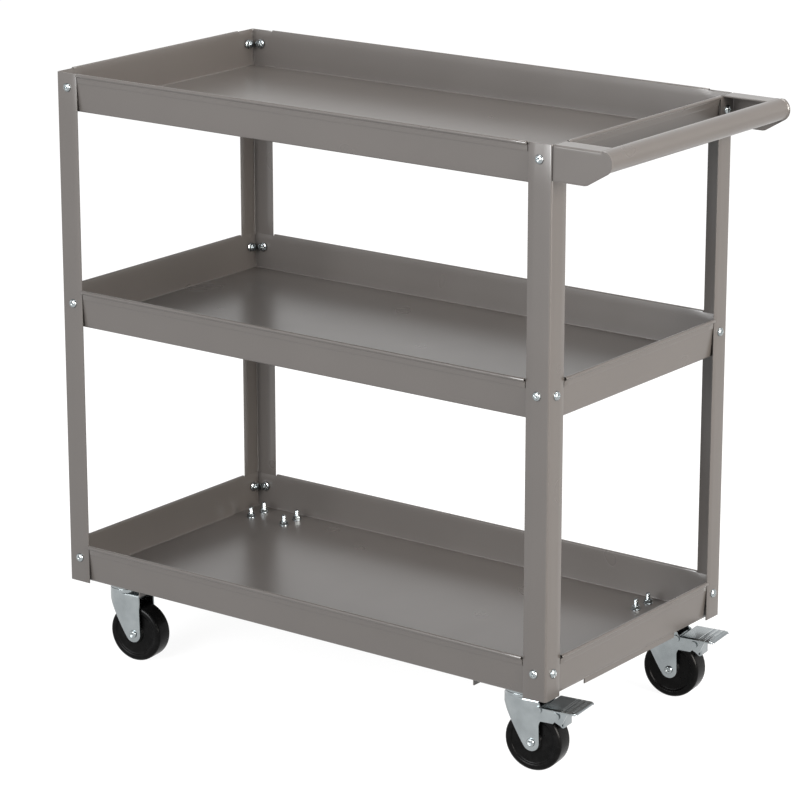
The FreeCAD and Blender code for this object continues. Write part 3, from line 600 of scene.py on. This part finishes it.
def nut_surface(seat, outward, spin, bore=3.02 * MM):
    """Flange nut: radius over (height, angle) is a hexagon's, r = a / cos(t mod 60 - 30), held
    inside a cone that chamfers its corners, above a thin flange."""
    flat, flange = 5.0 * MM, 6.5 * MM
    t = np.linspace(0, 2 * np.pi, 60, endpoint=False)
    hexagon = flat / np.cos(np.mod(t, np.pi / 3) - np.pi / 6)
    levels = [(bore, 0.0, 0), (flange - 0.3 * MM, 0.0, 0), (flange, 0.3 * MM, 0), (flange, 0.9 * MM, 0),
              (flange - 0.4 * MM, 1.2 * MM, 0), (5.9 * MM, 1.6 * MM, 1), (5.9 * MM, 4.6 * MM, 1),
              (5.75 * MM, 5.1 * MM, 1), (5.3 * MM, 5.6 * MM, 1), (4.9 * MM, 5.9 * MM, 1),
              (4.6 * MM, 6.0 * MM, 0), (bore + 0.5 * MM, 6.0 * MM, 0), (bore, 5.5 * MM, 0)]
    cap, h, is_hex = np.array(levels).T
    r = np.where(is_hex[:, None] > 0.5, np.minimum(hexagon[None, :], cap[:, None]), cap[:, None])
    points = np.stack([r * np.cos(t), r * np.sin(t), np.broadcast_to(h[:, None], r.shape)], -1)
    return surface(set_on(points, seat, outward, spin), wrap_rows=True, wrap_cols=True)


# %% Screws on the trays
rng = np.random.default_rng(7)
INSET_X, INSET_Y, DROP = 18.3 * MM, 16.3 * MM, 20.5 * MM
for name in ("top", "middle", "bottom"):
    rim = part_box("tray_" + name)[1].z
    seat_z = rim - DROP
    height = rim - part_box("tray_" + name)[0].z
    screws, nuts = [], []
    for corner, (sign_x, sign_y) in CORNERS.items():
        lo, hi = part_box("post_" + corner)
        outer_x = lo.x if sign_x < 0 else hi.x
        outer_y = lo.y if sign_y < 0 else hi.y
        lift = 2.0 * MM if name == "top" and sign_x > 0 else 0.0
        wall_in = (1.5 + 0.1 + 1.0) * MM + DRAFT * (DROP + 6.5 * MM) / height + 0.02 * MM
        seats = [((outer_x - sign_x * INSET_X, outer_y), (0, sign_y, 0), 0.0),
                 ((outer_x, outer_y - sign_y * INSET_Y), (sign_x, 0, 0), lift)]
        for (x, y), outward, raised in seats:
            seat = np.array([x, y, seat_z])
            out = np.array(outward, float)
            screws.append(screw_surface(seat + out * raised, out, rng.uniform(0, 3.1),
                                        13 * MM, 5 * MM))
            nuts.append(nut_surface(seat - out * wall_in, -out, rng.uniform(0, 3.1)))
    piece("pan_screws_" + name, join(screws), ZINC, ["tray_screws_" + name], "frame", 35, closed=True)
    piece("hex_nuts_" + name, join(nuts), ZINC, ["tray_nuts_" + name], "frame", 28, closed=True)

# %% Screws through the caster plates
HOLE_IN_X, HOLE_IN_Y = 12 * MM, 13 * MM
screw_seat_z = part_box("caster_screws")[0].z + HEAD_HEIGHT
nut_seat_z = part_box("caster_nuts")[0].z
screws, nuts = [], []
for corner in CORNERS:
    lo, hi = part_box("caster_plate_" + corner)
    for side_x in (-1, 1):
        for side_y in (-1, 1):
            x = (lo.x + hi.x) / 2 + side_x * ((hi.x - lo.x) / 2 - HOLE_IN_X)
            y = (lo.y + hi.y) / 2 + side_y * ((hi.y - lo.y) / 2 - HOLE_IN_Y)
            screws.append(screw_surface((x, y, screw_seat_z), (0, 0, -1), rng.uniform(0, 3.1),
                                        20 * MM, 12 * MM))
            nuts.append(nut_surface((x, y, nut_seat_z), (0, 0, 1), rng.uniform(0, 3.1)))
piece("plate_screws", join(screws), ZINC, ["caster_screws"], "frame", 35, closed=True)
piece("plate_nuts", join(nuts), ZINC, ["caster_nuts"], "frame", 28, closed=True)

# %% [markdown]
# ## Casters
# Every caster is drawn once about its swivel axis, with the wheel trailing along +x, and then turned
# to its rest angle at each corner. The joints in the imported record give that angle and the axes.

# %% Where the casters are
JOINTS = {joint["name"]: joint for joint in frame["joints"]}
axis = JOINTS["front_left_wheel_spin"]["axis"]
REST = math.atan2(-axis[0], axis[1])
swivel_at = {c: np.array(JOINTS[c + "_swivel"]["pos_m"]) * [1, 1, 0] for c in CORNERS}
spin_at = np.array(JOINTS["front_left_wheel_spin"]["pos_m"])
TRAIL = float(np.linalg.norm((spin_at - swivel_at["front_left"])[:2]))
AXLE_Z = float(spin_at[2])
pedal_at = np.array(JOINTS["front_right_brake_pedal"]["pos_m"])
PEDAL_X = float(np.linalg.norm((pedal_at - swivel_at["front_right"])[:2]))
PEDAL_Z = float(pedal_at[2])
CROWN_LOW = float(JOINTS["front_left_swivel"]["pos_m"][2])
CROWN = CROWN_LOW + 2.4 * MM
WHEEL_R = AXLE_Z / MM
WHEEL_HALF = 15.0
print("rest angle", round(math.degrees(REST), 2), "trail", round(TRAIL, 4), "axle height", AXLE_Z)


def at_corner(part, corner):
    """Turn a caster piece by the rest angle and move it to its corner's swivel axis."""
    points, faces = part
    c, s = math.cos(REST), math.sin(REST)
    turn = np.array([[c, -s, 0], [s, c, 0], [0, 0, 1]])
    return points @ turn.T + swivel_at[corner], faces


# %% [markdown]
# ### Wheel
# The wheel is a solid of revolution: hub, dished web, a raised rim band with a step, and a tread
# with generous round edges. Its section is drawn once for one face and mirrored for the other.

# %% Wheel
def wheel_surface():
    """Section as (radius, distance from the middle plane), eased at each corner and turned."""
    rim, half, edge = WHEEL_R - 8.0, WHEEL_HALF, 5.0
    face = [(5.06, half + 1.3), (11.2, half + 1.3), (12.9, half - 0.1), (13.4, half - 2.3),
            (15.0, half - 2.5), (rim - 3.4, half - 2.5), (rim - 1.8, half - 2.1), (rim - 0.6, half - 0.5),
            (rim + 1.0, half)]
    steps = np.radians(np.linspace(90, 0, 12))
    tread = np.stack([WHEEL_R - edge + edge * np.cos(steps), half - edge + edge * np.sin(steps)], -1)
    half = np.concatenate([eased(face, 0.55), tread])
    full = np.concatenate([half * [1, -1], half[::-1]]) * MM
    ring = turned(full, (TRAIL, 0, AXLE_Z), (0, 1, 0), 96)
    return surface(ring, wrap_rows=True, wrap_cols=True)


for corner in CORNERS:
    piece("moulded_wheel_" + corner, at_corner(wheel_surface(), corner), PLASTIC, ["wheel_" + corner],
          "wheel_body_" + corner, 30, closed=True)

# %% [markdown]
# ### Fork
# The fork is pressed from one sheet: a round crown whose edge rolls over and runs down into two
# flat legs. In plan the skirt is half an oval round the nose and straight along the legs, with a
# crease where the two meet. Each column of the grid starts at the race, crosses the crown, rolls
# over the edge and runs down to the leg's lower outline. On a braked fork more columns carry on
# behind the leg as the ear that holds the pedal's pin.

# %% Fork columns
LEG_Y = WHEEL_HALF + 1.7 + 2.4
NOSE_X = -25.2
CREASE_X = 9.5
BACK_X = 32.0
FOOT_R = 11.5
RACE_R = 20.0
ROLL = 3.2


def plan_curve(steps):
    """Half of the skirt in plan, from the nose to the crease: an oval x = c - a cos t,
    y = -b sin t, cut short of its widest point so that it meets the flat leg at a shallow angle."""
    stop = math.radians(62)
    t = np.linspace(0, stop, steps)
    a = (CREASE_X - NOSE_X) / (1 - math.cos(stop))
    b = LEG_Y / math.sin(stop)
    return NOSE_X + a * (1 - np.cos(t)), -b * np.sin(t)


def leg_low(x, y):
    """Height of the skirt's lower edge: short at the nose, then a swept line down to the foot."""
    trail, axle, crown = TRAIL / MM, AXLE_Z / MM, CROWN / MM
    angle = math.radians(30)
    foot_x, foot_z = trail - FOOT_R * math.cos(angle), axle - FOOT_R * math.sin(angle)
    knee_x, knee_z = NOSE_X + 7.0, crown - 21.5
    share = np.clip((x - knee_x) / (foot_x - knee_x), 0, 1)
    sweep = knee_z + (foot_z - knee_z) * share
    nose = np.clip((knee_x - x) / (knee_x - NOSE_X), 0, 1)
    short = knee_z + 9.5 * nose ** 0.8
    foot = axle - np.sqrt(np.clip(FOOT_R ** 2 - (x - trail) ** 2, 0, None))
    return np.where(x < knee_x, short, np.where(x < foot_x, sweep, foot))


def fork_half(braked):
    """The -y half of the fork's outer face, from the nose to the back edge, in millimetres."""
    trail, axle, crown = TRAIL / MM, AXLE_Z / MM, CROWN / MM
    nose_x, nose_y = plan_curve(22)
    foot_x = trail - FOOT_R * math.cos(math.radians(30))
    flat_x = np.linspace(CREASE_X, foot_x, 4)[1:]
    foot = trail + FOOT_R * np.sin(np.radians(np.linspace(-60, 90, 22)))[1:]
    edge_x = np.concatenate([nose_x, flat_x, foot])
    edge_y = np.concatenate([nose_y, np.full(len(flat_x) + len(foot), -LEG_Y)])
    low = leg_low(edge_x, edge_y)
    past_axle = (edge_x - trail) * (edge_x > trail)
    top_x = np.minimum(edge_x, edge_x - past_axle * (1 - (BACK_X - trail) / FOOT_R))
    roll = ROLL
    count = len(edge_x)
    slope_x, slope_y = np.gradient(edge_x), np.gradient(edge_y)
    slope_y[edge_x > CREASE_X + 0.01] = 0.0
    slope_x[edge_x > CREASE_X + 0.01] = 1.0
    size = np.hypot(slope_x, slope_y)
    out_x, out_y = slope_y / size, -slope_x / size
    out_x[0], out_y[0] = -1.0, 0.0
    race_angle = np.arctan2(edge_y, top_x)
    rows = []
    for share in (0.0, 0.5, 1.0):
        x = RACE_R * np.cos(race_angle) * (1 - share) + (top_x - roll * out_x) * share
        y = RACE_R * np.sin(race_angle) * (1 - share) + (edge_y - roll * out_y) * share
        rows.append(np.stack([x, y, np.full(count, crown)], -1))
    for angle in np.radians([18, 36, 54, 72, 90]):
        move = roll * (1 - math.sin(angle))
        drop = roll * (1 - math.cos(angle))
        rows.append(np.stack([top_x - move * out_x, edge_y - move * out_y,
                              np.full(count, crown - drop)], -1))
    start = crown - roll
    shares = np.linspace(0, 1, 15)[1:] ** 1.1
    for share in shares:
        z = start + (low - start) * share
        fall = (crown - z) / (crown - axle)
        x = top_x + (edge_x - top_x) * np.clip(fall, 0, 1)
        rows.append(np.stack([x, edge_y, z], -1))
    body = np.stack(rows, 0)
    if not braked:
        return body, None, 0
    pivot_x, pivot_z, ear = PEDAL_X / MM, PEDAL_Z / MM, 6.0
    ear_x = np.concatenate([[0.02, 1.2, 2.6, 4.0], np.linspace(4, pivot_x - BACK_X - ear, 5)[1:],
                            pivot_x - BACK_X + ear * np.sin(np.radians(np.linspace(-60, 90, 14)))])
    ear_x = ear_x + BACK_X
    circle = np.sqrt(np.clip(ear ** 2 - (ear_x - pivot_x) ** 2, 0, None))
    ear_high = pivot_z + np.where(ear_x > pivot_x, circle, ear)
    blend = np.clip((ear_x - BACK_X) / 4.0, 0, 1)
    ear_high = ear_high + (crown - roll - pivot_z - ear) * (1 - blend) ** 2
    base_low = pivot_z - 2 * ear
    past = ear_x > pivot_x - ear
    drop_line = base_low + (ear_x - pivot_x + ear) * 1.05
    ear_low = np.where(past, np.minimum(np.maximum(drop_line, base_low), pivot_z - circle), base_low)
    ear_low = ear_low - 6.0 * (1 - blend) ** 2
    shares = np.concatenate([[0.0], shares])
    z = ear_high[None, :] + (ear_low - ear_high)[None, :] * shares[:, None]
    lean = (FOOT_R + trail - BACK_X) * (crown - z) / (crown - axle)
    x = ear_x[None, :] + lean * (1 - blend)
    return body, np.stack([x, np.full(z.shape, -LEG_Y), z], -1), len(shares)


def fork_surface(braked):
    """Both halves, the ear columns where there is a brake, and a strip of crown across the back, from the race's
    circle out to the back edge.
    """
    body, ear, rows = fork_half(braked)
    keep = None
    if ear is not None:
        lead = np.broadcast_to(body[:-rows, -1:, :], (body.shape[0] - rows, ear.shape[1], 3))
        wide = np.concatenate([body, np.concatenate([lead, ear], 0)], 1)
        keep = np.ones((wide.shape[0] - 1, wide.shape[1] - 1), bool)
        keep[:body.shape[0] - rows, body.shape[1] - 1:] = False
        body = wide
    half = facing(body * MM, (0, -1, 0), keep=keep)
    back = body[:3, -1 if ear is None else -ear.shape[1] - 1]
    t = np.linspace(0, 1, 9)[None, :, None]
    strip = back[:, None, :] * (1 - t) + back[:, None, :] * [1, -1, 1] * t
    angle = np.arctan2(back[0, 1], back[0, 0]) * (1 - 2 * np.linspace(0, 1, 9))
    strip[0, :, 0], strip[0, :, 1] = RACE_R * np.cos(angle), RACE_R * np.sin(angle)
    middle = facing(strip * MM, (0, 0, 1))
    return join([half, mirror(half, (1, -1, 1)), middle])


def race_surface():
    """The raised ring that the balls run in: a shallow collar with a rounded lip, turned about z."""
    top = 4.4
    line = eased([(9.5, -0.1), (9.5, top - 0.6), (13.4, top - 0.2), (16.5, top - 1.6), (19.6, top - 0.2),
                  (21.9, top), (22.0, -0.1)], 0.5) * MM
    return surface(turned(line + [0, CROWN], (0, 0, 0), (0, 0, 1), 72), wrap_rows=True, wrap_cols=True)


for corner in CORNERS:
    braked = corner.endswith("right")
    fork = piece("pressed_fork_" + corner, at_corner(fork_surface(braked), corner), ZINC,
                 ["fork_" + corner], "swivel_" + corner, 22)
    gauge(fork, 2.4 * MM, -1.0, 0.3 * MM)
    piece("ball_race_" + corner, at_corner(race_surface(), corner), ZINC, ["fork_" + corner],
          "swivel_" + corner, 35, closed=True)

# %% [markdown]
# ### Axle
# A bolt crosses the fork. Its head is a low dome with a pressed ring, and a flange nut holds the
# far side.

# %% Axle bolts and nuts
def axle_bolt_surface():
    """Head and shank as one line of (radius, height along -y) turned about the axle."""
    head = eased([(1e-6, 1.5), (2.0, 1.6), (2.7, 2.9), (4.3, 3.1), (5.5, 1.9), (5.5, 0.0), (3.0, 0.0)], 0.5)
    end = -(2 * LEG_Y + 6.0 + 2.0) * MM
    shank = thread(THREAD_RADIUS, end + 3.0 * MM, end + 0.5 * MM, PITCH)
    line = np.concatenate([head * MM, shank])
    return surface(turned(line, (TRAIL, -LEG_Y * MM, AXLE_Z), (0, -1, 0), 48), wrap_cols=True)


def axle_nut_surface():
    return nut_surface((TRAIL, LEG_Y * MM, AXLE_Z), (0, 1, 0), 0.4)


for corner in CORNERS:
    piece("axle_screw_" + corner, at_corner(axle_bolt_surface(), corner), ZINC, ["axle_bolt_" + corner],
          "swivel_" + corner, 35, closed=True)
    piece("axle_hex_" + corner, at_corner(axle_nut_surface(), corner), ZINC, ["axle_nut_" + corner],
          "swivel_" + corner, 28, closed=True)

# %% [markdown]
# ### Brake pedal
# The pedal is stamped: a wide tread plate with three cross ribs for grip and a tip that turns down,
# two cheeks that ride on the pin, and a tongue that reaches down to the wheel.

# %% Pedal
def pedal_surface():
    """Tread plate as a height field z(x) carried across y, its edges pulled down at the sides, plus
    two cheeks and the tongue with its shoe. All in millimetres about the pivot, then moved."""
    x = np.linspace(-17, 30, 64)
    side_y = LEG_Y + 0.4 + 2.0 + 5.0
    y = np.linspace(-side_y, side_y, 25)
    lift = 9.0 + 0.8 * sum(np.exp(-((x - c) / 1.3) ** 4) for c in (9.5, 16.5, 23.5))
    tip = -1.6 * np.clip((x - 26) / 4, 0, 1) ** 2
    side = -0.9 * np.clip((np.abs(y) - side_y + 3) / 3, 0, 1) ** 2
    corner = np.clip((x - 24) / 6, 0, 1)[:, None] ** 2 * 3.0
    yy = y[None, :] * (1 - corner / side_y * (np.abs(y)[None, :] / side_y) ** 4)
    rib_fade = np.clip((side_y - 1.5 - np.abs(y)) / 2, 0, 1)[None, :]
    z = 9.0 + (lift - 9.0)[:, None] * rib_fade + tip[:, None] + side[None, :]
    plate = np.stack([np.broadcast_to(x[:, None], z.shape), yy, z], -1)
    u = np.linspace(0, 1, 15)
    top_x = -11 + 28 * u
    low_pts = np.array([(-11, 8.0), (-8.5, 0.5), (-6, -5.5), (-1, -8.6), (4, -11), (6, -11.4), (8.4, -10.6),
                        (11.4, -3), (14, 2.5), (17, 8.0)])
    low_x = np.interp(u, np.linspace(0, 1, 10), low_pts[:, 0])
    low_z = np.interp(u, np.linspace(0, 1, 10), low_pts[:, 1])
    v = np.linspace(0, 1, 8)[:, None]
    cheek_x = top_x[None, :] * (1 - v) + low_x[None, :] * v
    cheek_z = 8.6 * (1 - v) + low_z[None, :] * v
    cheek = np.stack([cheek_x, np.full(cheek_x.shape, -LEG_Y - 1.35), cheek_z], -1)
    drop = np.linspace(8.4, -16, 10)
    tongue_y = np.linspace(-10, 10, 7)
    tongue = np.stack([np.full((10, 7), 5.5), np.broadcast_to(tongue_y, (10, 7)),
                       np.broadcast_to(drop[:, None], (10, 7))], -1)
    foot_line = eased([(5.5, -16), (5.5, -17.6), (3.5, -18.2), (-1.5, -14.6)], 0.8)
    foot = np.stack([np.broadcast_to(foot_line[:, :1], (len(foot_line), 7)),
                     np.broadcast_to(tongue_y, (len(foot_line), 7)),
                     np.broadcast_to(foot_line[:, 1:], (len(foot_line), 7))], -1)
    parts = [surface(plate), surface(cheek), mirror(surface(cheek), (1, -1, 1)), surface(tongue),
             surface(foot)]
    points, faces = join(parts)
    return (points + [PEDAL_X / MM, 0, PEDAL_Z / MM]) * MM, faces


for corner in ("front_right", "rear_right"):
    pedal = piece("stamped_pedal_" + corner, at_corner(pedal_surface(), corner), ZINC,
                  ["brake_pedal_" + corner], "pedal_" + corner, 35)
    gauge(pedal, 2.0 * MM, 0.0, 0.25 * MM)

# %% [markdown]
# ## Setting and light
# A pale floor runs past the view on every side and glows a little by itself, so it stays an even
# near white. Three soft boxes light the cart: one in front, a warmer one beyond the handle end,
# which makes the end faces lighter than the long front, and a weak one overhead. The sky is pale at
# the horizon and dimmer above, which gives the zinc two tones to mirror.

# %% Floor
centre = (cad_box[0] + cad_box[1]) / 2
bpy.ops.mesh.primitive_plane_add(size=60, location=(centre.x, centre.y, -0.0002))
floor = bpy.context.object
floor.name = "studio_floor"
floor_material, _, floor_shader = new_material("pale_floor", (0.10, 0.10, 0.10), 0.9)
floor_shader.inputs["Specular IOR Level"].default_value = 0.0
floor_shader.inputs["Emission Color"].default_value = (1.0, 1.0, 1.0, 1.0)
floor_shader.inputs["Emission Strength"].default_value = 0.92
floor.data.materials.append(floor_material)


# %% Sky and lamps
def soft_lamp(name, place, aim, size, power, color):
    """A square soft box at place, facing aim."""
    light = bpy.data.lights.new(name, "AREA")
    light.shape = "SQUARE"
    light.size = size
    light.energy = power
    light.color = color
    lamp = bpy.data.objects.new(name, light)
    lamp.location = place
    lamp.rotation_euler = (Vector(aim) - Vector(place)).to_track_quat("-Z", "Y").to_euler()
    bpy.context.scene.collection.objects.link(lamp)
    return lamp


def studio_sky():
    """World light: a ramp over the height of the view direction, pale at the horizon and dim above."""
    world = bpy.data.worlds.new("studio")
    bpy.context.scene.world = world
    world.use_nodes = True
    tree = world.node_tree
    place = tree.nodes.new("ShaderNodeTexCoord")
    split = tree.nodes.new("ShaderNodeSeparateXYZ")
    ramp = tree.nodes.new("ShaderNodeValToRGB")
    tree.links.new(place.outputs["Generated"], split.inputs["Vector"])
    tree.links.new(split.outputs["Z"], ramp.inputs["Fac"])
    stops = ramp.color_ramp
    stops.elements[0].position, stops.elements[0].color = 0.0, (1.15, 1.15, 1.15, 1)
    stops.elements[1].position, stops.elements[1].color = 0.9, (0.50, 0.50, 0.51, 1)
    middle = stops.elements.new(0.35)
    middle.color = (0.95, 0.95, 0.95, 1)
    tree.links.new(ramp.outputs["Color"], tree.nodes["Background"].inputs["Color"])
    tree.nodes["Background"].inputs["Strength"].default_value = 1.25
    return world


studio_sky()
soft_lamp("key_handle_end", (3.6, -0.2, 1.5), (0, 0, 0.45), 2.0, 440, (1.0, 0.95, 0.89))
soft_lamp("top_soft", (0.3, 0.4, 3.4), (0, 0, 0.4), 2.4, 140, (1.0, 0.98, 0.96))
soft_lamp("front_key", (-0.4, -4.0, 1.9), (0, 0, 0.45), 2.4, 440, (0.98, 0.99, 1.0))
bpy.context.scene.view_settings.view_transform = "Standard"

# %% Camera
AZIMUTH, ELEVATION = math.radians(36.76), math.radians(16.12)
target = Vector((-0.0770, 0.0713, 0.3656))
back = Vector((math.sin(AZIMUTH) * math.cos(ELEVATION), -math.cos(AZIMUTH) * math.cos(ELEVATION),
               math.sin(ELEVATION)))
camera_data = bpy.data.cameras.new("camera")
camera = bpy.data.objects.new("camera", camera_data)
bpy.context.scene.collection.objects.link(camera)
camera.location = target + back * 4.6436
camera.rotation_euler = (-back).to_track_quat("-Z", "Y").to_euler()
camera_data.sensor_width = 36.0
camera_data.lens = 153.31
camera_data.clip_end = 200.0
bpy.context.scene.camera = camera
